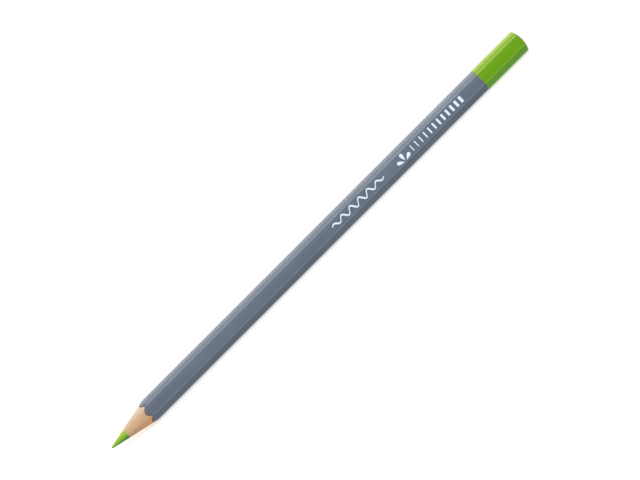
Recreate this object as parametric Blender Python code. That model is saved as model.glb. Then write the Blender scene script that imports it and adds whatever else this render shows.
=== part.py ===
"""Hexagonal wood-cased colour pencil, sharpened at one end and dipped at the other.

It lies along X on one of its flats: the tip points to -X, the dipped end to +X and +Z is up.
The origin is under the middle of the pencil, on the surface that it lies on.
"""

import math

import bmesh
import bpy
from mathutils import Matrix

MM = 0.001

# The whole pencil, measured over its lacquer.
PENCIL_LENGTH = 175.0 * MM
ACROSS_FLATS = 6.8 * MM
CORNER_RADIUS = 1.05 * MM
FIT_GAP = 0.02 * MM  # left between neighbouring pieces

# The sharpened end: one cone through coats, wood and core, with a slightly worn point.
CONE_HALF_ANGLE = math.radians(12.45)
TIP_RADIUS = 0.36 * MM

# The core and the two glued slats around it.
CORE_DIAMETER = 3.2 * MM
GLUE_THICKNESS = 0.04 * MM
GLUE_SETBACK = 0.06 * MM  # how far the glue stays inside the wood's corner

# The coats, from the wood outwards.
PRIMER_THICKNESS = 0.03 * MM
LACQUER_THICKNESS = 0.05 * MM

# The dipped cap: a thin wall over the lacquer and a solid, gently domed end.
CAP_LENGTH = 17.8 * MM
CAP_WALL = 0.10 * MM
CAP_END_THICKNESS = 1.25 * MM
CAP_DOME_RADIUS = 8.4 * MM

# The white print on the upper front flat, measured from the tip and from the flat's middle.
INK_THICKNESS = 0.03 * MM
WAVE_START, WAVE_LENGTH = 93.7 * MM, 22.0 * MM
WAVE_CREST, WAVE_COUNT, WAVE_STEPS = 0.95 * MM, 6, 144
WAVE_THIN, WAVE_THICK = 0.30 * MM, 0.56 * MM
DROPS_MIDDLE = 123.7 * MM
DROP_LENGTH, DROP_WIDTH, DROP_STEPS = 2.6 * MM, 1.75 * MM, 28
DROP_FAN = {"left": math.radians(62), "middle": 0.0, "right": math.radians(-62)}
DROP_ROOT = 0.35 * MM  # from the fan's centre to each drop's point
BARS_START, BARS_LENGTH, BAR_COUNT = 127.6 * MM, 21.4 * MM, 12
BAR_HEIGHT, BAR_THIN, BAR_THICK = 2.1 * MM, 0.28 * MM, 0.90 * MM

# Fineness of the facets.
ROUND_STEPS = 64
CORNER_STEPS = 6
TIP_STEPS = 5
DOME_STEPS = 8
CUT_MARGIN = 1.0 * MM  # how far cutters pass what they cut

# Places that follow from the sizes above.
TIP_X = -PENCIL_LENGTH / 2
END_X = PENCIL_LENGTH / 2
CAP_X = END_X - CAP_LENGTH
BARREL_END_X = END_X - CAP_END_THICKNESS
APEX_X = TIP_X + TIP_RADIUS - TIP_RADIUS / math.sin(CONE_HALF_ANGLE)
AXIS_HEIGHT = ACROSS_FLATS / 2 + CAP_WALL
CORE_RADIUS = CORE_DIAMETER / 2
CORNER_CENTRE = (ACROSS_FLATS / 2 - CORNER_RADIUS) / math.cos(math.radians(30))  # from the axis
PRIMER_INSET = LACQUER_THICKNESS + FIT_GAP
WOOD_INSET = PRIMER_INSET + PRIMER_THICKNESS + FIT_GAP
FRONT_FLAT_TURN = math.radians(60)  # turns the top flat's print onto the upper front flat

# Colours as red, green and blue from 0 to 1, with roughness and metallic.
COLOURS = {
    "pigment": ((0.23, 0.45, 0.04), 0.55, 0.0),
    "wood": ((0.65, 0.42, 0.25), 0.65, 0.0),
    "glue": ((0.72, 0.62, 0.42), 0.50, 0.0),
    "primer": ((0.32, 0.31, 0.30), 0.60, 0.0),
    "lacquer": ((0.14, 0.17, 0.22), 0.30, 0.0),
    "cap_paint": ((0.15, 0.35, 0.02), 0.25, 0.0),
    "ink": ((0.80, 0.83, 0.88), 0.45, 0.0),
}


def clear_scene():
    for thing in list(bpy.data.objects):
        bpy.data.objects.remove(thing, do_unlink=True)


def make_material(name):
    colour, roughness, metallic = COLOURS[name]
    material = bpy.data.materials.new(name)
    material.use_nodes = True
    shader = material.node_tree.nodes["Principled BSDF"]
    shader.inputs["Base Color"].default_value = (*colour, 1.0)
    shader.inputs["Roughness"].default_value = roughness
    shader.inputs["Metallic"].default_value = metallic
    return material


def add_empty(name, parent=None):
    empty = bpy.data.objects.new(name, None)
    bpy.context.collection.objects.link(empty)
    empty.parent = parent
    return empty


def add_object(name, bm, parent, material=None, smooth=False):
    """Turns the bmesh into a named object under its parent, with its faces pointing out."""
    bmesh.ops.recalc_face_normals(bm, faces=bm.faces)
    mesh = bpy.data.meshes.new(name)
    bm.to_mesh(mesh)
    bm.free()
    if smooth:
        mesh.shade_smooth()
        mesh.set_sharp_from_angle(angle=math.radians(30))
    if material:
        mesh.materials.append(material)
    thing = bpy.data.objects.new(name, mesh)
    thing.parent = parent
    bpy.context.collection.objects.link(thing)
    return thing


def as_cutter(thing):
    thing.hide_render = True
    thing.display_type = "WIRE"
    return thing


def cut(thing, operation, cutter):
    boolean = thing.modifiers.new(cutter.name, "BOOLEAN")
    boolean.operation = operation
    boolean.object = cutter


def hexagon(inset):
    """The lacquer's outline moved inwards, as (y, z) points with round corners, flats up and down."""
    centre, radius = CORNER_CENTRE, CORNER_RADIUS - inset
    points = []
    for corner in range(6):
        middle = math.radians(60 * corner)
        for step in range(CORNER_STEPS + 1):
            turn = middle + math.radians(60 * step / CORNER_STEPS - 30)
            points.append(
                (
                    centre * math.cos(middle) + radius * math.cos(turn),
                    centre * math.sin(middle) + radius * math.sin(turn),
                )
            )
    return points


def ring(bm, outline, x):
    return [bm.verts.new((x, y, z)) for y, z in outline]


def wall(bm, first, second):
    """Joins two rings of the same number of points by four-sided faces."""
    for i, corner in enumerate(first):
        after = (i + 1) % len(first)
        bm.faces.new((corner, first[after], second[after], second[i]))


def prism(outline, start_x, end_x):
    bm = bmesh.new()
    start, end = ring(bm, outline, start_x), ring(bm, outline, end_x)
    wall(bm, start, end)
    bm.faces.new(start)
    bm.faces.new(end)
    return bm


def sleeve(outer, inner, start_x, end_x):
    bm = bmesh.new()
    outside = ring(bm, outer, start_x), ring(bm, outer, end_x)
    inside = ring(bm, inner, start_x), ring(bm, inner, end_x)
    wall(bm, *outside)
    wall(bm, *inside)
    wall(bm, outside[0], inside[0])
    wall(bm, outside[1], inside[1])
    return bm


def turned(profile):
    """Turns a profile of (x, radius) points about X; its first and last points lie on the axis."""
    bm = bmesh.new()
    points = [bm.verts.new((x, 0.0, radius)) for x, radius in profile]
    edges = [bm.edges.new(pair) for pair in zip(points, points[1:])]
    bmesh.ops.spin(
        bm,
        geom=points + edges,
        cent=(0, 0, 0),
        axis=(1, 0, 0),
        angle=math.tau,
        steps=ROUND_STEPS,
        use_merge=True,
    )
    bmesh.ops.remove_doubles(bm, verts=bm.verts, dist=1e-7)
    return bm


def cone_x(radius):
    """Where the sharpened cone reaches this radius."""
    return APEX_X + radius / math.tan(CONE_HALF_ANGLE)


def make_sharpener(parent):
    """The space left by the sharpener: the cone, then a clear cylinder around the whole barrel."""
    clear_radius = ACROSS_FLATS / 2 + CUT_MARGIN
    profile = [
        (APEX_X, 0.0),
        (cone_x(clear_radius), clear_radius),
        (END_X + CUT_MARGIN, clear_radius),
        (END_X + CUT_MARGIN, 0.0),
    ]
    return as_cutter(add_object("sharpened_space", turned(profile), parent))


def make_core(parent):
    """The pigment core: a round point, the cone and a plain rod to the barrel's end."""
    round_centre = TIP_X + TIP_RADIUS
    profile = [(TIP_X, 0.0)]
    for step in range(1, TIP_STEPS + 1):
        turn = step / TIP_STEPS * (math.pi / 2 - CONE_HALF_ANGLE)
        profile.append((round_centre - TIP_RADIUS * math.cos(turn), TIP_RADIUS * math.sin(turn)))
    profile.append((cone_x(CORE_RADIUS), CORE_RADIUS))
    profile.append((BARREL_END_X - FIT_GAP, CORE_RADIUS))
    profile.append((BARREL_END_X - FIT_GAP, 0.0))
    return add_object("pigment_core", turned(profile), parent, make_material("pigment"), smooth=True)


def make_slats(parent, sharpener):
    """Two half-hexagon slats, each with a half-round groove for the core."""
    groove_radius = CORE_RADIUS + FIT_GAP
    groove = turned(
        [
            (TIP_X - CUT_MARGIN, 0.0),
            (TIP_X - CUT_MARGIN, groove_radius),
            (END_X + CUT_MARGIN, groove_radius),
            (END_X + CUT_MARGIN, 0.0),
        ]
    )
    groove = as_cutter(add_object("core_groove", groove, parent))
    wood = make_material("wood")
    for name, turn in (("slat_upper", 0.0), ("slat_lower", math.pi)):
        bm = prism(hexagon(WOOD_INSET), TIP_X, BARREL_END_X - FIT_GAP)
        halved = bmesh.ops.bisect_plane(
            bm,
            geom=bm.verts[:] + bm.edges[:] + bm.faces[:],
            plane_co=(0, 0, GLUE_THICKNESS / 2 + FIT_GAP),
            plane_no=(0, 0, 1),
            clear_inner=True,
        )
        edges = [part for part in halved["geom_cut"] if isinstance(part, bmesh.types.BMEdge)]
        bmesh.ops.contextual_create(bm, geom=edges)
        bm.transform(Matrix.Rotation(turn, 4, "X"))
        slat = add_object(name, bm, parent, wood)
        cut(slat, "DIFFERENCE", groove)
        cut(slat, "INTERSECT", sharpener)


def make_glue_lines(parent, sharpener):
    """A thin strip of glue on each side of the core, between the slats."""
    inner = CORE_RADIUS + 2 * FIT_GAP
    outer = CORNER_CENTRE + CORNER_RADIUS - WOOD_INSET - GLUE_SETBACK
    half = GLUE_THICKNESS / 2
    glue = make_material("glue")
    for name, side in (("glue_line_front", -1), ("glue_line_back", 1)):
        outline = [
            (side * inner, -half),
            (side * outer, -half),
            (side * outer, half),
            (side * inner, half),
        ]
        strip = add_object(name, prism(outline, TIP_X, BARREL_END_X - FIT_GAP), parent, glue)
        cut(strip, "INTERSECT", sharpener)


def make_coats(parent, sharpener):
    """Primer and lacquer: thin hexagonal sleeves, which the sharpener leaves scalloped."""
    for name, material, inset, thickness in (
        ("primer_coat", "primer", PRIMER_INSET, PRIMER_THICKNESS),
        ("lacquer_coat", "lacquer", 0.0, LACQUER_THICKNESS),
    ):
        outer, inner = hexagon(inset), hexagon(inset + thickness)
        sides = sleeve(outer, inner, TIP_X, BARREL_END_X - FIT_GAP)
        coat = add_object(name, sides, parent, make_material(material), smooth=True)
        cut(coat, "INTERSECT", sharpener)


def make_cap(parent):
    """The dipped cap: a hexagonal cup over the barrel's end, rounded off by a shallow dome."""
    bore = prism(hexagon(-FIT_GAP), CAP_X - CUT_MARGIN, BARREL_END_X)
    bore = as_cutter(add_object("cap_bore", bore, parent))
    dome_centre = END_X - CAP_DOME_RADIUS
    clear_radius = ACROSS_FLATS / 2 + CUT_MARGIN
    widest = math.asin(clear_radius / CAP_DOME_RADIUS)
    profile = [(CAP_X - CUT_MARGIN, 0.0), (CAP_X - CUT_MARGIN, clear_radius)]
    for step in range(DOME_STEPS, -1, -1):
        turn = widest * step / DOME_STEPS
        profile.append(
            (dome_centre + CAP_DOME_RADIUS * math.cos(turn), CAP_DOME_RADIUS * math.sin(turn))
        )
    dome = as_cutter(add_object("cap_dome", turned(profile), parent))
    body = prism(hexagon(-CAP_WALL), CAP_X, END_X)
    cap = add_object("dip_cap", body, parent, make_material("cap_paint"), smooth=True)
    cut(cap, "INTERSECT", dome)
    cut(cap, "DIFFERENCE", bore)


def ink_shape(name, outline, parent, ink, place_x):
    """A flat shape of ink from its (x, y) outline, laid on the print's flat."""
    bm = bmesh.new()
    bottom = bm.faces.new([bm.verts.new((x, y, 0.0)) for x, y in outline])
    raised = bmesh.ops.extrude_face_region(bm, geom=[bottom])
    top = [part for part in raised["geom"] if isinstance(part, bmesh.types.BMVert)]
    bmesh.ops.translate(bm, verts=top, vec=(0, 0, INK_THICKNESS))
    shape = add_object(name, bm, parent, ink)
    shape.location = (TIP_X + place_x, 0.0, ACROSS_FLATS / 2 + FIT_GAP)


def wave_outline():
    """A brush wave that fades at both ends, thin on its way up and thick on its way down."""
    left, right = [], []
    for step in range(WAVE_STEPS + 1):
        part = step / WAVE_STEPS
        phase = math.tau * WAVE_COUNT * part
        swell = math.sin(math.pi * part) ** 0.4
        x, y = WAVE_LENGTH * part, WAVE_CREST * swell * math.sin(phase)
        slope = WAVE_CREST * swell * math.cos(phase) * math.tau * WAVE_COUNT / WAVE_LENGTH
        heavy = (1 - math.cos(phase)) / 2
        half = (WAVE_THIN + (WAVE_THICK - WAVE_THIN) * heavy) / 2
        length = math.hypot(1, slope)
        left.append((x - half * slope / length, y + half / length))
        right.append((x + half * slope / length, y - half / length))
    return left + right[::-1]


def drop_outline(turn):
    """A drop whose point is near the fan's centre, turned about that centre."""
    outline = []
    for step in range(DROP_STEPS):
        around = math.tau * step / DROP_STEPS
        across = DROP_WIDTH / 2 * math.sin(around) * math.sin(around / 2) ** 2
        along = DROP_ROOT + DROP_LENGTH * (1 - math.cos(around)) / 2
        outline.append(
            (
                across * math.cos(turn) - along * math.sin(turn),
                across * math.sin(turn) + along * math.cos(turn),
            )
        )
    lift = DROP_ROOT + DROP_LENGTH / 2
    return [(x, y - lift) for x, y in outline]


def make_print(parent):
    """The white print: a brush wave, a fan of three drops and a scale of plain bars."""
    flat = add_empty("print_flat", parent)
    flat.rotation_euler = (FRONT_FLAT_TURN, 0.0, 0.0)
    ink = make_material("ink")
    ink_shape("print_wave", wave_outline(), flat, ink, WAVE_START)
    for side, turn in DROP_FAN.items():
        ink_shape(f"print_drop_{side}", drop_outline(turn), flat, ink, DROPS_MIDDLE)
    pitch = (BARS_LENGTH - BAR_THICK) / (BAR_COUNT - 1)
    for bar in range(BAR_COUNT):
        width = BAR_THIN + (BAR_THICK - BAR_THIN) * bar / (BAR_COUNT - 1)
        half = BAR_HEIGHT / 2
        outline = [(0.0, -half), (width, -half), (width, half), (0.0, half)]
        ink_shape(f"print_bar_{bar + 1:02d}", outline, flat, ink, BARS_START + pitch * bar)


def build_pencil():
    clear_scene()
    axis = add_empty("pencil_axis")
    axis.location = (0.0, 0.0, AXIS_HEIGHT)
    sharpener = make_sharpener(axis)
    make_core(axis)
    make_slats(axis, sharpener)
    make_glue_lines(axis, sharpener)
    make_coats(axis, sharpener)
    make_cap(axis)
    make_print(axis)


build_pencil()
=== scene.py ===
import math

import bmesh
import bpy
from mathutils import Matrix, Vector


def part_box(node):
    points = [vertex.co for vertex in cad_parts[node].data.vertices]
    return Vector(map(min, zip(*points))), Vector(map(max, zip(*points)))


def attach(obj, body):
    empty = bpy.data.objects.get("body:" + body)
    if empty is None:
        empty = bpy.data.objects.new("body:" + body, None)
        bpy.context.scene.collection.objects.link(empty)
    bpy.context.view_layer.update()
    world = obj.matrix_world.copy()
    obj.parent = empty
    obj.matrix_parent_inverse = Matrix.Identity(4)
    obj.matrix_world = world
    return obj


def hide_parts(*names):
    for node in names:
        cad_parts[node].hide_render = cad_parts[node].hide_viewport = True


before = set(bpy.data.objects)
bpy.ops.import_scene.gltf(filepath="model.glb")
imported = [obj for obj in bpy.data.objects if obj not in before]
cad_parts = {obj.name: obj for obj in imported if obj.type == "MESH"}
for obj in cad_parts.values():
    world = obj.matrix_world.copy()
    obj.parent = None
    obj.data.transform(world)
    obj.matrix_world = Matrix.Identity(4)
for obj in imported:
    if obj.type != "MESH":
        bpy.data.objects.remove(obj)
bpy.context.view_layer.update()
mm = 0.001


# Shader helpers: a value that takes part in Python sums, and a paint that adds nodes

class Value:
    def __init__(self, paint, socket):
        self.paint = paint
        self.socket = socket

    def maths(self, operation, *others):
        return self.paint.node("Math", {"operation": operation}, dict(enumerate((self, *others))))

    def __add__(self, other):
        return self.maths("ADD", other)

    def __radd__(self, other):
        return self.maths("ADD", other)

    def __sub__(self, other):
        return self.maths("SUBTRACT", other)

    def __rsub__(self, other):
        return self.paint.node("Math", {"operation": "SUBTRACT"}, {0: other, 1: self})

    def __mul__(self, other):
        return self.maths("MULTIPLY", other)

    def __rmul__(self, other):
        return self.maths("MULTIPLY", other)

    def smooth(self, low, high):
        # 0 below low and 1 above high, with soft ends
        return self.paint.node(
            "MapRange",
            {"interpolation_type": "SMOOTHSTEP"},
            {"Value": self, "From Min": low, "From Max": high},
        )


class Paint:
    colourSockets = {"first": 6, "second": 7, "result": 2}  # of a Mix node set to colours

    def __init__(self, name):
        self.material = bpy.data.materials.new(name)
        self.material.use_nodes = True
        self.tree = self.material.node_tree
        self.shader = self.tree.nodes["Principled BSDF"]
        self.place = self.node("TexCoord", output="Object")

    def node(self, kind, settings=None, inputs=None, output=0):
        made = self.tree.nodes.new("ShaderNode" + kind)
        for name, setting in (settings or {}).items():
            setattr(made, name, setting)
        for key, value in (inputs or {}).items():
            self.feed(made.inputs[key], value)
        return Value(self, made.outputs[output])

    def feed(self, socket, value):
        if isinstance(value, Value):
            self.tree.links.new(value.socket, socket)
        else:
            socket.default_value = value

    def mix(self, factor, first, second):
        sockets = self.colourSockets
        return self.node(
            "Mix",
            {"data_type": "RGBA"},
            {0: factor, sockets["first"]: opaque(first), sockets["second"]: opaque(second)},
            output=sockets["result"],
        )

    def noise(self, scale, detail, roughness=0.5, turn=0.0, shift=(0.0, 0.0, 0.0)):
        # on the piece's own coordinates, scaled by 1 / metre along each axis, turned about X, moved
        place = self.node(
            "Mapping",
            None,
            {"Vector": self.place, "Location": shift, "Rotation": (turn, 0.0, 0.0), "Scale": scale},
        )
        return self.node(
            "TexNoise",
            None,
            {"Vector": place, "Scale": 1.0, "Detail": detail, "Roughness": roughness},
        )

    def along(self, axis):
        return self.node("SeparateXYZ", None, {"Vector": self.place}, axis)

    def vector(self, operation, other):
        inputs = {0: self.place, 1: other}
        return self.node("VectorMath", {"operation": operation}, inputs, "Value")

    def bump(self, height, distance, normal=None):
        inputs = {"Height": height, "Distance": distance}
        if normal:
            inputs["Normal"] = normal
        return self.node("Bump", None, inputs)

    def finish(self, colour, roughness, normal, **others):
        self.feed(self.shader.inputs["Base Color"], opaque(colour))
        self.feed(self.shader.inputs["Roughness"], roughness)
        self.feed(self.shader.inputs["Normal"], normal)
        for name, value in others.items():
            self.feed(self.shader.inputs[name.replace("_", " ")], value)
        return self.material


def opaque(colour):
    return colour if isinstance(colour, Value) else (*colour, 1.0)


def screenColour(red, green, blue):
    # a colour as a screen shows it, 0 to 255, turned into the linear values that shaders use
    parts = (part / 255 for part in (red, green, blue))
    return tuple(p / 12.92 if p <= 0.04045 else ((p + 0.055) / 1.055) ** 2.4 for p in parts)


# The pencil's sizes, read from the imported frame

coreLow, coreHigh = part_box("pigment_core")
lacquerLow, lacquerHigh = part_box("lacquer_coat")
primerLow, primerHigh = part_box("primer_coat")
slatLow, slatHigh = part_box("slat_upper")
capLow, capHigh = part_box("dip_cap")

axisZ = (coreLow.z + coreHigh.z) / 2
cos30 = math.cos(math.radians(30))
flatOut = Vector((0.0, -cos30, 0.5))  # out of the printed flat
flatUp = Vector((0.0, 0.5, cos30))  # up along it
pencil = {
    "tipX": coreLow.x,
    "endX": capHigh.x,
    "capX": capLow.x,
    "barrelEndX": coreHigh.x,
    "axisZ": axisZ,
    "coreRadius": (coreHigh.z - coreLow.z) / 2,
    "halfFlats": (lacquerHigh.z - lacquerLow.z) / 2,
    "halfCorners": (lacquerHigh.y - lacquerLow.y) / 2,
    "primerInset": lacquerHigh.z - primerHigh.z,
    "woodInset": lacquerHigh.z - slatHigh.z,
    "capWall": capHigh.z - lacquerHigh.z,
    "glueHalf": slatLow.z - axisZ,
    "coneTurn": math.radians(12.45),  # between the axis and the cone's side
    "tipRadius": 0.36 * mm,
    "fitGap": 0.02 * mm,
    "cornerRadius": 0.40 * mm,
}
pencil["apexX"] = pencil["tipX"] + pencil["tipRadius"] * (1 - 1 / math.sin(pencil["coneTurn"]))


def crownFaces():
    # each face is a shallow arc that runs smoothly into the two round corners beside it
    flats, radius = pencil["halfFlats"], pencil["cornerRadius"]
    corner = pencil["halfCorners"] - radius
    dip = corner * cos30 - flats
    pencil["cornerCentre"] = corner
    pencil["faceRadius"] = (radius ** 2 - corner ** 2 / 4 - dip ** 2) / (2 * (dip + radius))
    pencil["faceTurn"] = math.atan2(corner / 2, dip + pencil["faceRadius"])


crownFaces()
print("pencil sizes read from the frame")


# Mesh helpers: rings of vertices that grow along the pencil

ringSteps = {"arc": 5, "flat": 20}  # faces over half a corner, and over a flat
sideSteps = ringSteps["flat"] + 2 * ringSteps["arc"]
creaseTurn = math.radians(35)  # edges sharper than this aren't shaded smooth
blade = {
    "shallowSide": math.radians(165),  # where round the cone it cuts least
    "sideCut": 0.18 * mm,  # how much deeper it cuts on average, and twice that on the far side
    "flatCut": 0.05 * mm,  # deeper under the flats, and as much less under the corners
    "ripples": (  # waves round the cone, their depth and their turn
        (5, 0.006 * mm, 2.1),
        (11, 0.004 * mm, 0.4),
    ),
}


def direction(degrees):
    return Vector((math.cos(math.radians(degrees)), math.sin(math.radians(degrees))))


def hexPoint(part, inset):
    # (y, z) on the crowned hexagon, with part running once round it from 0 to 1
    side, step = divmod(round(part * 6 * sideSteps), sideSteps)
    arc, flat = ringSteps["arc"], ringSteps["flat"]
    crown = math.degrees(pencil["faceTurn"])
    before = step < arc
    if before or step > arc + flat:
        corner = 60 * side if before else 60 * side + 60
        share = step / arc if before else (step - sideSteps) / arc
        turn = corner + share * (30 - crown)
        reach = pencil["cornerRadius"] - inset
        return direction(corner) * pencil["cornerCentre"] + direction(turn) * reach
    middle = 60 * side + 30
    turn = middle + crown * (2 * (step - arc) / flat - 1)
    centre = pencil["halfFlats"] - pencil["faceRadius"]
    return direction(middle) * centre + direction(turn) * (pencil["faceRadius"] - inset)


def shaveWobble(radius, part):
    # how much deeper than an even cone the blade cuts
    turn = part * math.tau
    wobble = blade["sideCut"] * (1 - math.cos(turn - blade["shallowSide"]))
    wobble -= blade["flatCut"] * math.cos(6 * turn)
    wobble += sum(depth * math.sin(waves * turn + start) for waves, depth, start in blade["ripples"])
    return wobble * (radius / pencil["halfFlats"]) ** 2


def coneX(radius, part):
    return pencil["apexX"] + (radius + shaveWobble(radius, part)) / math.tan(pencil["coneTurn"])


def atAxis(x, point):
    return Vector((x, point[0], pencil["axisZ"] + point[1]))


def startRing(bm, count, place):
    # a closed ring; each vertex remembers how far round it stands
    around = bm.verts.layers.float.new("around")
    made = bmesh.ops.create_circle(bm, segments=count, radius=1.0)["verts"]
    for vert in made:
        vert[around] = round(math.atan2(vert.co.y, vert.co.x) / math.tau * count) % count / count
    for vert in made:
        vert.co = place(vert[around])
    return list(bm.edges)


def growRing(bm, ring, place):
    around = bm.verts.layers.float["around"]
    grown = bmesh.ops.extrude_edge_only(bm, edges=ring)["geom"]
    fresh = {part for part in grown if isinstance(part, bmesh.types.BMVert)}
    for vert in fresh:
        vert.co = place(vert[around])
    edges = [part for part in grown if isinstance(part, bmesh.types.BMEdge)]
    return [edge for edge in edges if all(vert in fresh for vert in edge.verts)]


def closeToPoint(bm, ring, x):
    # ends a skin in one vertex on the pencil's axis
    point = atAxis(x, (0.0, 0.0))
    verts = {vert for edge in growRing(bm, ring, lambda part: point) for vert in edge.verts}
    bmesh.ops.pointmerge(bm, verts=list(verts), merge_co=point)


def makePiece(name, bm, node, materials):
    bmesh.ops.remove_doubles(bm, verts=bm.verts, dist=1e-8)
    bmesh.ops.recalc_face_normals(bm, faces=bm.faces)
    mesh = bpy.data.meshes.new(name)
    bm.to_mesh(mesh)
    bm.free()
    mesh.shade_smooth()
    mesh.set_sharp_from_angle(angle=creaseTurn)
    for material in materials:
        mesh.materials.append(material)
    piece = bpy.data.objects.new(name, mesh)
    bpy.context.collection.objects.link(piece)
    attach(piece, "root")
    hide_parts(node)


# Measures on the pencil that several paints share

def acrossFlat(paint):
    # how far up along the printed flat, from the pencil's axis
    return paint.vector("DOT_PRODUCT", flatUp) - pencil["axisZ"] * flatUp.z


def axisRadius(paint):
    across = paint.along("Y")
    height = paint.along("Z") - pencil["axisZ"]
    return (across * across + height * height).maths("SQRT")


# Pigment core: a waxy green rod with a blunt point

core = {
    "steps": 160,
    "tipRings": 10,
    "coneRings": 40,
    "shaveDepth": 0.006 * mm,  # of the fine rings that the blade leaves
    "toneReach": 1.1 * mm,  # from the axis to where the painted shade below is fully deep and the painted light above fully pale
    "toneWander": 0.5 * mm,
    # colour is the pigment's own; deepColour is painted shade on the lower side and also the random
    # mottle; paleColour is painted light on the upper side
    "colour": screenColour(138, 182, 38),
    "deepColour": screenColour(74, 146, 20),
    "paleColour": screenColour(172, 198, 62),
    "fleckColour": screenColour(176, 206, 80),
}


def waxPigment():
    paint = Paint("waxPigment")
    mottle = paint.noise((1400, 1400, 1400), detail=4, roughness=0.6)
    grain = paint.noise((9000, 9000, 9000), detail=2)
    rings = paint.noise((5200, 500, 500), detail=2)
    # painted light and shade: the pigment paler above the axis and deeper below it, as light from
    # above falls on it
    height = acrossFlat(paint) + (mottle - 0.5) * core["toneWander"]
    colour = paint.mix(height.smooth(-core["toneReach"], 0.0), core["deepColour"], core["colour"])
    colour = paint.mix(height.smooth(0.0, core["toneReach"]), colour, core["paleColour"])
    colour = paint.mix(mottle.smooth(0.45, 0.75) * 0.3, colour, core["deepColour"])
    colour = paint.mix(grain.smooth(0.58, 0.75) * 0.4, colour, core["fleckColour"])
    normal = paint.bump(rings + grain * 0.6, 0.012 * mm)
    roughness = 0.42 + mottle * 0.2
    return paint.finish(colour, roughness, normal, Specular_IOR_Level=0.45)


def buildCore():
    radius = pencil["coreRadius"]
    tipRadius = pencil["tipRadius"]
    tipCentre = pencil["tipX"] + tipRadius
    stop = math.pi / 2 - pencil["coneTurn"]

    def tipRing(turn):
        return lambda part: atAxis(
            tipCentre - tipRadius * math.cos(turn),
            tipRadius * math.sin(turn) * direction(360 * part),
        )

    def coneRing(size, index):
        wave = core["shaveDepth"] * (index % 2)
        return lambda part: atAxis(coneX(size, part), (size - wave) * direction(360 * part))

    bm = bmesh.new()
    ring = startRing(bm, core["steps"], tipRing(stop / core["tipRings"]))
    first = ring
    for step in range(2, core["tipRings"] + 1):
        ring = growRing(bm, ring, tipRing(stop * step / core["tipRings"]))
    smallest = tipRadius * math.cos(pencil["coneTurn"])
    for step in range(1, core["coneRings"] + 1):
        size = smallest + (radius - smallest) * step / core["coneRings"]
        ring = growRing(bm, ring, coneRing(size, step))
    end = pencil["barrelEndX"]
    ring = growRing(bm, ring, lambda part: atAxis(end, radius * direction(360 * part)))
    closeToPoint(bm, ring, end)
    closeToPoint(bm, first, pencil["tipX"])
    makePiece("pigmentCore", bm, "pigment_core", [waxPigment()])


# Wooden slats: two halves of the casing, bare where the sharpener has cut them

wood = {
    "coneRings": 26,
    "toneReach": 3.0 * mm,  # from the axis to where the painted shade below is fully warm and the painted light above fully pale
    "toneWander": 2.0 * mm,
    "colour": screenColour(216, 177, 136),
    # painted shade on the lower side; paleColour below is painted light on the upper side
    "warmColour": screenColour(240, 174, 118),
    "paleColour": screenColour(228, 202, 180),
    "lateColour": screenColour(184, 134, 92),
    "poreColour": screenColour(150, 102, 66),
    "fleckColour": screenColour(226, 190, 154),
}


def sharpenedWood():
    paint = Paint("sharpenedWood")
    rings = paint.noise((60, 900, 900), detail=2, turn=math.radians(28))
    streaks = paint.noise((260, 6500, 6500), detail=3, roughness=0.55)
    pores = paint.noise((1500, 15000, 15000), detail=2, roughness=0.4)
    flecks = paint.noise((2600, 5200, 5200), detail=1, shift=(3, 1, 2))
    shave = paint.noise((6500, 350, 350), detail=2)
    # painted light and shade: the wood paler above the axis and warmer below it, as light from above
    # falls on it
    height = acrossFlat(paint) + (rings - 0.5) * wood["toneWander"]
    colour = paint.mix(height.smooth(-wood["toneReach"], 0.0), wood["warmColour"], wood["colour"])
    colour = paint.mix(height.smooth(0.0, wood["toneReach"]), colour, wood["paleColour"])
    colour = paint.mix(rings.smooth(0.5, 0.75) * 0.22, colour, wood["lateColour"])
    colour = paint.mix(streaks.smooth(0.45, 0.8) * 0.42, colour, wood["lateColour"])
    colour = paint.mix(pores.smooth(0.60, 0.74) * 0.50, colour, wood["poreColour"])
    colour = paint.mix(flecks.smooth(0.62, 0.74) * 0.45, colour, wood["fleckColour"])
    relief = streaks * 0.8 + shave * 0.5 - pores.smooth(0.6, 0.72) * 0.8
    normal = paint.bump(relief, 0.02 * mm)
    roughness = 0.60 + streaks * 0.2
    return paint.finish(colour, roughness, normal, Specular_IOR_Level=0.25)


def turnCasing():
    # the whole casing with its bore, sharpened, before it is parted into slats and glue
    groove = pencil["coreRadius"] + pencil["fitGap"]
    inset = pencil["woodInset"]
    end = pencil["barrelEndX"]

    def coneRing(share):
        def place(part):
            outer = hexPoint(part, inset)
            size = groove + (outer.length - groove) * share
            return atAxis(coneX(size, part), outer.normalized() * size)
        return place

    bm = bmesh.new()
    first = startRing(bm, 6 * sideSteps, coneRing(0.0))
    ring = first
    for step in range(1, wood["coneRings"] + 1):
        ring = growRing(bm, ring, coneRing(step / wood["coneRings"]))
    ring = growRing(bm, ring, lambda part: atAxis(end, hexPoint(part, inset)))
    ring = growRing(bm, ring, lambda part: atAxis(end, hexPoint(part, inset).normalized() * groove))
    bmesh.ops.bridge_loops(bm, edges=ring + first)
    return bm


def keepSide(bm, point, normal):
    halved = bmesh.ops.bisect_plane(
        bm,
        geom=bm.verts[:] + bm.edges[:] + bm.faces[:],
        plane_co=point,
        plane_no=normal,
        clear_inner=True,
    )
    edges = [part for part in halved["geom_cut"] if isinstance(part, bmesh.types.BMEdge)]
    bmesh.ops.holes_fill(bm, edges=edges, sides=0)


def buildSlats():
    material = sharpenedWood()
    for name, node, side in (("slatUpper", "slat_upper", 1), ("slatLower", "slat_lower", -1)):
        bm = turnCasing()
        keepSide(bm, (0, 0, pencil["axisZ"] + side * pencil["glueHalf"]), (0, 0, side))
        makePiece(name, bm, node, [material])


# Glue lines: what fills the seam between the slats on each side of the core

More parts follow.
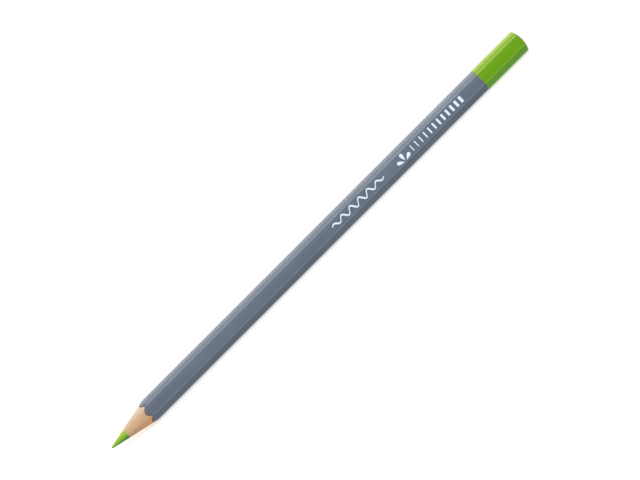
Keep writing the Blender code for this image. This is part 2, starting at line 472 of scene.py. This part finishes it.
glue = {
    "colour": screenColour(205, 178, 134),
    "darkColour": screenColour(170, 138, 96),
}


def driedGlue():
    paint = Paint("driedGlue")
    cloud = paint.noise((900, 3000, 3000), detail=3)
    colour = paint.mix(cloud.smooth(0.35, 0.7), glue["colour"], glue["darkColour"])
    return paint.finish(colour, 0.35 + cloud * 0.3, paint.bump(cloud, 0.01 * mm))


def buildGlue():
    material = driedGlue()
    half = pencil["glueHalf"] - pencil["fitGap"] / 2
    for name, node, side in (
        ("glueLineFront", "glue_line_front", -1),
        ("glueLineBack", "glue_line_back", 1),
    ):
        bm = turnCasing()
        keepSide(bm, (0, 0, pencil["axisZ"] - half), (0, 0, 1))
        keepSide(bm, (0, 0, pencil["axisZ"] + half), (0, 0, -1))
        keepSide(bm, (0, 0, 0), (0, side, 0))
        makePiece(name, bm, node, [material])


# Coats: primer and lacquer, cut to scallops by the sharpener

coats = {
    "primerColour": screenColour(124, 108, 96),
    "cutColour": screenColour(98, 92, 90),
    "groundColour": screenColour(104, 98, 94),
    "groundReach": 0.9 * mm,  # how far behind an even cone the coat is scuffed
    "groundCorner": 0.08 * mm,  # how far below a corner's crest the scuff has ended
    "wearStart": 0.026 * mm,  # below a corner's crest
    "wearFull": 0.008 * mm,
    "scallopRun": 1.2 * mm,  # from the scallops back to the coat's next ring
    "lacquerColour": screenColour(96, 105, 118),
    "lacquerPale": screenColour(104, 114, 128),
    "lacquerDeep": screenColour(90, 99, 113),
    # for light specks, and as a painted highlight along the corners
    "edgeColour": screenColour(136, 147, 163),
}


def chalkyPrimer():
    paint = Paint("chalkyPrimer")
    grain = paint.noise((6000, 6000, 6000), detail=3)
    colour = paint.mix(grain, coats["primerColour"], coats["cutColour"])
    return paint.finish(colour, 0.6 + grain * 0.2, paint.bump(grain, 0.01 * mm))


def cornerMask(paint, proud=0.0):
    # 1 along the six corners, where a coat runs thin and gets polished, and 0 on the flats; the
    # paints give the corners a glossier coat and a painted highlight line
    outer = pencil["halfCorners"] + proud
    return axisRadius(paint).smooth(outer - coats["wearStart"], outer - coats["wearFull"])


def cutMask(paint):
    # 1 at the scallops, where the blade ground the coat, fading along the barrel and to the corners
    radius = axisRadius(paint)
    behind = paint.along("X") - pencil["apexX"] - radius * (1 / math.tan(pencil["coneTurn"]))
    corner = radius.smooth(pencil["halfFlats"], pencil["halfCorners"] - coats["groundCorner"])
    return (1.0 - behind.smooth(0.0, coats["groundReach"])) * (1.0 - corner)


def slateLacquer():
    paint = Paint("slateLacquer")
    cloud = paint.noise((60, 260, 260), detail=3)
    peel = paint.noise((900, 1500, 1500), detail=2, roughness=0.45)
    fibres = paint.noise((90, 3600, 3600), detail=3)
    specks = paint.noise((11000, 11000, 11000), detail=1)
    corner = cornerMask(paint)
    colour = paint.mix(cloud.smooth(0.3, 0.7), coats["lacquerColour"], coats["lacquerPale"])
    colour = paint.mix(fibres.smooth(0.5, 0.8) * 0.35, colour, coats["lacquerDeep"])
    colour = paint.mix(specks.smooth(0.66, 0.8) * 0.15, colour, coats["edgeColour"])
    # painted highlight: a lighter line along each corner
    colour = paint.mix(corner * (0.6 + peel * 0.3), colour, coats["edgeColour"])
    colour = paint.mix(cutMask(paint) * (0.5 + peel * 0.5), colour, coats["groundColour"])
    normal = paint.bump(peel, 0.002 * mm)
    normal = paint.bump(fibres, 0.0015 * mm, normal=normal)
    roughness = 0.35 + peel * 0.08 - corner * 0.10
    return paint.finish(
        colour,
        roughness,
        normal,
        Specular_IOR_Level=0.28,
        Coat_Weight=corner * 0.5,
        Coat_Roughness=0.20,
    )


def cutLacquer():
    paint = Paint("cutLacquer")
    grain = paint.noise((8000, 5000, 5000), detail=2)
    colour = paint.mix(grain.smooth(0.3, 0.7), coats["cutColour"], coats["primerColour"])
    return paint.finish(colour, 0.55 + grain * 0.2, paint.bump(grain, 0.01 * mm))


def buildCoat(name, node, inset, inner, materials):
    def scallop(depth):
        def place(part):
            point = hexPoint(part, depth)
            return atAxis(coneX(point.length, part), point)
        return place

    def behind(part):
        point = hexPoint(part, inset)
        return atAxis(coneX(point.length, part) + coats["scallopRun"], point)

    end = pencil["barrelEndX"]
    bm = bmesh.new()
    outerFront = startRing(bm, 6 * sideSteps, scallop(inset))
    ring = growRing(bm, outerFront, behind)
    ring = growRing(bm, ring, lambda part: atAxis(end, hexPoint(part, inset)))
    ring = growRing(bm, ring, lambda part: atAxis(end, hexPoint(part, inner)))
    innerFront = growRing(bm, ring, scallop(inner))
    cut = bmesh.ops.bridge_loops(bm, edges=outerFront + innerFront)["faces"]
    for face in cut:
        face.material_index = len(materials) - 1
    makePiece(name, bm, node, materials)


def buildCoats():
    gap = pencil["fitGap"]
    buildCoat(
        "primerCoat",
        "primer_coat",
        pencil["primerInset"],
        pencil["woodInset"] - gap,
        [chalkyPrimer()],
    )
    buildCoat(
        "lacquerCoat",
        "lacquer_coat",
        0.0,
        pencil["primerInset"] - gap,
        [slateLacquer(), cutLacquer()],
    )


# Dipped cap: thick glossy paint with a soft front edge and a shallow dome

cap = {
    "lipLength": 0.45 * mm,
    "lipRings": 5,
    "rimRadius": 0.30 * mm,
    "rimRings": 6,
    "domeRadius": 8.4 * mm,
    "domeRings": 14,
    "frontFade": (0.1 * mm, 1.0 * mm),  # behind the front edge, where the dip runs out
    "rimDepth": (0.10 * mm, 0.45 * mm),  # under the dome's sphere, where the painted rim line fades
    "domeFade": (0.35 * mm, 0.75 * mm),  # from the end, where it sets in on the dome
    "sideFade": (3.0 * mm, 4.0 * mm),  # and from where the rest of the cap is kept clear of it
    "toneFade": (1.8 * mm, 2.6 * mm),  # from the axis, up and down along the printed flat, where the painted light and shade set in
    "glossTint": (1.0, 0.66, 0.34),  # the thick paint turns its reflections yellow
    "colour": screenColour(102, 160, 18),
    "deepColour": screenColour(98, 156, 14),
    "paleColour": screenColour(122, 172, 26),
    # a painted highlight along the corners
    "cornerColour": screenColour(158, 200, 62),
    "thinColour": screenColour(119, 162, 10),  # painted light: the upper side yellower, where the warm light from behind falls
    "pooledColour": screenColour(99, 169, 10),  # painted shade: the lower side a stronger green
    # for the front edge where the dip runs out, and as a painted line of light along the dome's rim
    "edgeColour": screenColour(128, 156, 28),
}


def rimMask(paint):
    # 1 along the dome's edge, fading over the dome and down the sides
    centre = Vector((pencil["endX"] - cap["domeRadius"], 0.0, pencil["axisZ"]))
    depth = cap["domeRadius"] - paint.vector("DISTANCE", centre)
    behind = pencil["endX"] - paint.along("X")
    edge = 1.0 - depth.smooth(*cap["rimDepth"])
    return edge * behind.smooth(*cap["domeFade"]) * (1.0 - behind.smooth(*cap["sideFade"]))


def greenDip():
    paint = Paint("greenDip")
    cloud = paint.noise((140, 300, 300), detail=3)
    peel = paint.noise((700, 1100, 1100), detail=2, roughness=0.4)
    runs = paint.noise((70, 1600, 1600), detail=2)
    corner = cornerMask(paint, pencil["capWall"])
    front = 1.0 - (paint.along("X") - pencil["capX"]).smooth(*cap["frontFade"])
    height = acrossFlat(paint)
    colour = paint.mix(cloud.smooth(0.3, 0.7), cap["colour"], cap["deepColour"])
    colour = paint.mix(runs.smooth(0.45, 0.8) * 0.2, colour, cap["paleColour"])
    # painted light above the axis and painted shade below it
    colour = paint.mix(height.smooth(*cap["toneFade"]), colour, cap["thinColour"])
    colour = paint.mix((0.0 - height).smooth(*cap["toneFade"]), colour, cap["pooledColour"])
    colour = paint.mix(front * 0.35, colour, cap["edgeColour"])
    # painted light: a yellowish line along the dome's rounded rim, as the light shows it there
    colour = paint.mix(rimMask(paint) * 0.4, colour, cap["edgeColour"])
    # painted highlight: a lighter, yellower line along each corner
    colour = paint.mix(corner * 0.75, colour, cap["cornerColour"])
    normal = paint.bump(peel, 0.003 * mm)
    normal = paint.bump(runs, 0.002 * mm, normal=normal)
    roughness = 0.31 + peel * 0.06 - corner * 0.12
    return paint.finish(
        colour,
        roughness,
        normal,
        Specular_IOR_Level=0.36,
        Specular_Tint=(*cap["glossTint"], 1.0),
        Coat_Weight=corner * 0.6,
        Coat_Roughness=0.20,
    )


def buildCap():
    gap, wall = pencil["fitGap"], pencil["capWall"]
    start, end = pencil["capX"], pencil["endX"]
    rim, dome = cap["rimRadius"], cap["domeRadius"]
    domeCentre = end - dome

    def lipRing(share):
        turn = share * math.pi / 2
        x = start + cap["lipLength"] * (1 - math.cos(turn))
        return lambda part: atAxis(x, hexPoint(part, -gap - (wall - gap) * math.sin(turn)))

    def rimPlace(part):
        side = hexPoint(part, -wall)
        inner = side.length - rim
        x = domeCentre + math.sqrt((dome - rim) ** 2 - inner ** 2)
        return side, inner, x

    def rimRing(share):
        def place(part):
            side, inner, x = rimPlace(part)
            last = math.atan2(inner, x - domeCentre)
            turn = math.pi / 2 + (last - math.pi / 2) * share
            size = inner + rim * math.sin(turn)
            return atAxis(x + rim * math.cos(turn), side.normalized() * size)
        return place

    def domeRing(share):
        def place(part):
            side, inner, x = rimPlace(part)
            turn = math.atan2(inner, x - domeCentre) * (1 - share)
            size = dome * math.sin(turn)
            return atAxis(domeCentre + dome * math.cos(turn), side.normalized() * size)
        return place

    floorX = pencil["barrelEndX"] + gap
    bm = bmesh.new()
    mouth = startRing(bm, 6 * sideSteps, lipRing(0.0))
    ring = mouth
    for step in range(1, cap["lipRings"] + 1):
        ring = growRing(bm, ring, lipRing(step / cap["lipRings"]))
    for step in range(cap["rimRings"] + 1):
        ring = growRing(bm, ring, rimRing(step / cap["rimRings"]))
    for step in range(1, cap["domeRings"]):
        ring = growRing(bm, ring, domeRing(step / cap["domeRings"]))
    closeToPoint(bm, ring, end)
    ring = growRing(bm, mouth, lambda part: atAxis(floorX, hexPoint(part, -gap)))
    closeToPoint(bm, ring, floorX)
    makePiece("dipCap", bm, "dip_cap", [greenDip()])


# Print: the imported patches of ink, stamped on one flat

ink = {
    "colour": screenColour(232, 238, 246),
    "thinColour": screenColour(196, 206, 220),
    "thickness": 0.03 * mm,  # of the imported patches
    "mergeDistance": 0.0001 * mm,
    "strips": 6,
    "stripWidth": 0.22 * mm,
    "proud": 0.012 * mm,
    "sunk": 0.010 * mm,
}


def whiteInk():
    paint = Paint("whiteInk")
    worn = paint.noise((5200, 5200, 5200), detail=3, roughness=0.6)
    fibres = paint.noise((300, 4200, 4200), detail=2)
    cover = worn.smooth(0.60, 0.78) * 0.6 + fibres.smooth(0.6, 0.85) * 0.25
    colour = paint.mix(cover, ink["colour"], ink["thinColour"])
    return paint.finish(colour, 0.38 + worn * 0.2, paint.bump(worn, 0.004 * mm))


def stampPrint():
    # each packed patch is cut into strips, then bent over the crowned face and pressed thin
    material = whiteInk()
    axis = Vector((0.0, 0.0, pencil["axisZ"]))
    middle = pencil["halfFlats"] + pencil["fitGap"] + ink["thickness"] / 2
    for node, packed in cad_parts.items():
        if not node.startswith("print_"):
            continue
        bm = bmesh.new()
        bm.from_mesh(packed.data)
        bmesh.ops.remove_doubles(bm, verts=bm.verts, dist=ink["mergeDistance"])
        for strip in range(1 - ink["strips"], ink["strips"]):
            bmesh.ops.bisect_plane(
                bm,
                geom=bm.verts[:] + bm.edges[:] + bm.faces[:],
                plane_co=axis + flatUp * strip * ink["stripWidth"],
                plane_no=flatUp,
            )
        for vert in bm.verts:
            out, up = (vert.co - axis).dot(flatOut), (vert.co - axis).dot(flatUp)
            crown = pencil["faceRadius"] - math.sqrt(pencil["faceRadius"] ** 2 - up ** 2)
            level = ink["proud"] if out > middle else -ink["sunk"]
            vert.co += flatOut * (pencil["halfFlats"] - crown + level - out)
        name = node[0] + node.title().replace("_", "")[1:]
        makePiece(name, bm, node, [material])


# Studio: a pale floor, two lamps, a soft sky and the camera

studio = {
    "floorSize": 6.0,
    "floorColour": (0.58, 0.58, 0.58),
    "floorShade": 0.985,  # of the colour, in its faint clouds
    "floorGlow": 0.52,  # the floor is lit from below as well, like a light table
    "worldColour": (0.90, 0.95, 1.0),
    "worldStrength": 0.70,
    "cameraLean": math.radians(8),  # towards the tip
    "cameraRoll": math.radians(45),
    "cameraDistance": 0.6,
    "frameWidth": 191.45 * mm,
    "centreAlong": 1.40 * mm,
}
lamps = {
    "overhead": {
        "place": (0.08, -0.19, 0.50),
        "size": (0.38, 0.24),
        "power": 1.6,
        "colour": (1.0, 1.0, 1.0),
    },
    "backPanel": {
        "place": (0.10, 0.80, 0.195),
        "size": (1.4, 0.31),
        "power": 7.7,
        "colour": (1.0, 0.91, 0.78),
    },
}


def paleFloor():
    paint = Paint("paleFloor")
    cloud = paint.noise((3, 3, 3), detail=2)
    fibre = paint.noise((900, 900, 900), detail=2)
    shade = tuple(part * studio["floorShade"] for part in studio["floorColour"])
    colour = paint.mix(cloud, studio["floorColour"], shade)
    return paint.finish(
        colour,
        0.8 + fibre * 0.1,
        paint.bump(fibre, 0.01 * mm),
        Emission_Color=(1.0, 1.0, 1.0, 1.0),
        Emission_Strength=studio["floorGlow"],
    )


def buildFloor():
    bm = bmesh.new()
    bmesh.ops.create_grid(bm, x_segments=8, y_segments=8, size=studio["floorSize"] / 2)
    mesh = bpy.data.meshes.new("paleFloor")
    bm.to_mesh(mesh)
    bm.free()
    material = paleFloor()
    material.cycles.emission_sampling = "NONE"  # leaves the light samples to the lamps
    mesh.materials.append(material)
    floor = bpy.data.objects.new("paleFloor", mesh)
    floor.visible_diffuse = False  # keeps its glare off the pencil's underside
    floor.visible_glossy = False
    bpy.context.collection.objects.link(floor)


def buildLamps():
    target = Vector((0.0, 0.0, pencil["axisZ"]))
    for name, lamp in lamps.items():
        light = bpy.data.lights.new(name, "AREA")
        light.shape = "RECTANGLE"
        light.size, light.size_y = lamp["size"]
        light.energy = lamp["power"]
        light.color = lamp["colour"]
        holder = bpy.data.objects.new(name, light)
        holder.location = lamp["place"]
        holder.rotation_euler = (target - holder.location).to_track_quat("-Z", "Y").to_euler()
        bpy.context.collection.objects.link(holder)
    world = bpy.data.worlds.new("softSky")
    world.use_nodes = True
    sky = world.node_tree.nodes["Background"].inputs
    sky["Color"].default_value = (*studio["worldColour"], 1.0)
    sky["Strength"].default_value = studio["worldStrength"]
    bpy.context.scene.world = world
    bpy.context.scene.view_settings.view_transform = "Standard"


def buildCamera():
    # square to the printed flat, leaned towards the tip, with the pencil rising to the right
    lean = studio["cameraLean"]
    back = flatOut * math.cos(lean) - Vector((1, 0, 0)) * math.sin(lean)
    along = flatUp.cross(back)
    middle = Vector((0.0, 0.0, pencil["axisZ"])) + along * studio["centreAlong"]
    roll = studio["cameraRoll"]
    right = along * math.cos(roll) - flatUp * math.sin(roll)
    up = along * math.sin(roll) + flatUp * math.cos(roll)
    data = bpy.data.cameras.new("studioCamera")
    data.type = "ORTHO"
    data.ortho_scale = studio["frameWidth"]
    camera = bpy.data.objects.new("studioCamera", data)
    bpy.context.collection.objects.link(camera)
    axes = Matrix((right, up, back)).transposed().to_4x4()
    camera.matrix_world = Matrix.Translation(middle + back * studio["cameraDistance"]) @ axes
    bpy.context.scene.camera = camera


buildCore()
print("pigment core turned")
buildSlats()
print("slats cut")
buildGlue()
print("glue lines filled")
buildCoats()
print("coats laid and sharpened")
buildCap()
print("cap dipped")
stampPrint()
print("print stamped")
buildFloor()
buildLamps()
buildCamera()
print("studio ready")
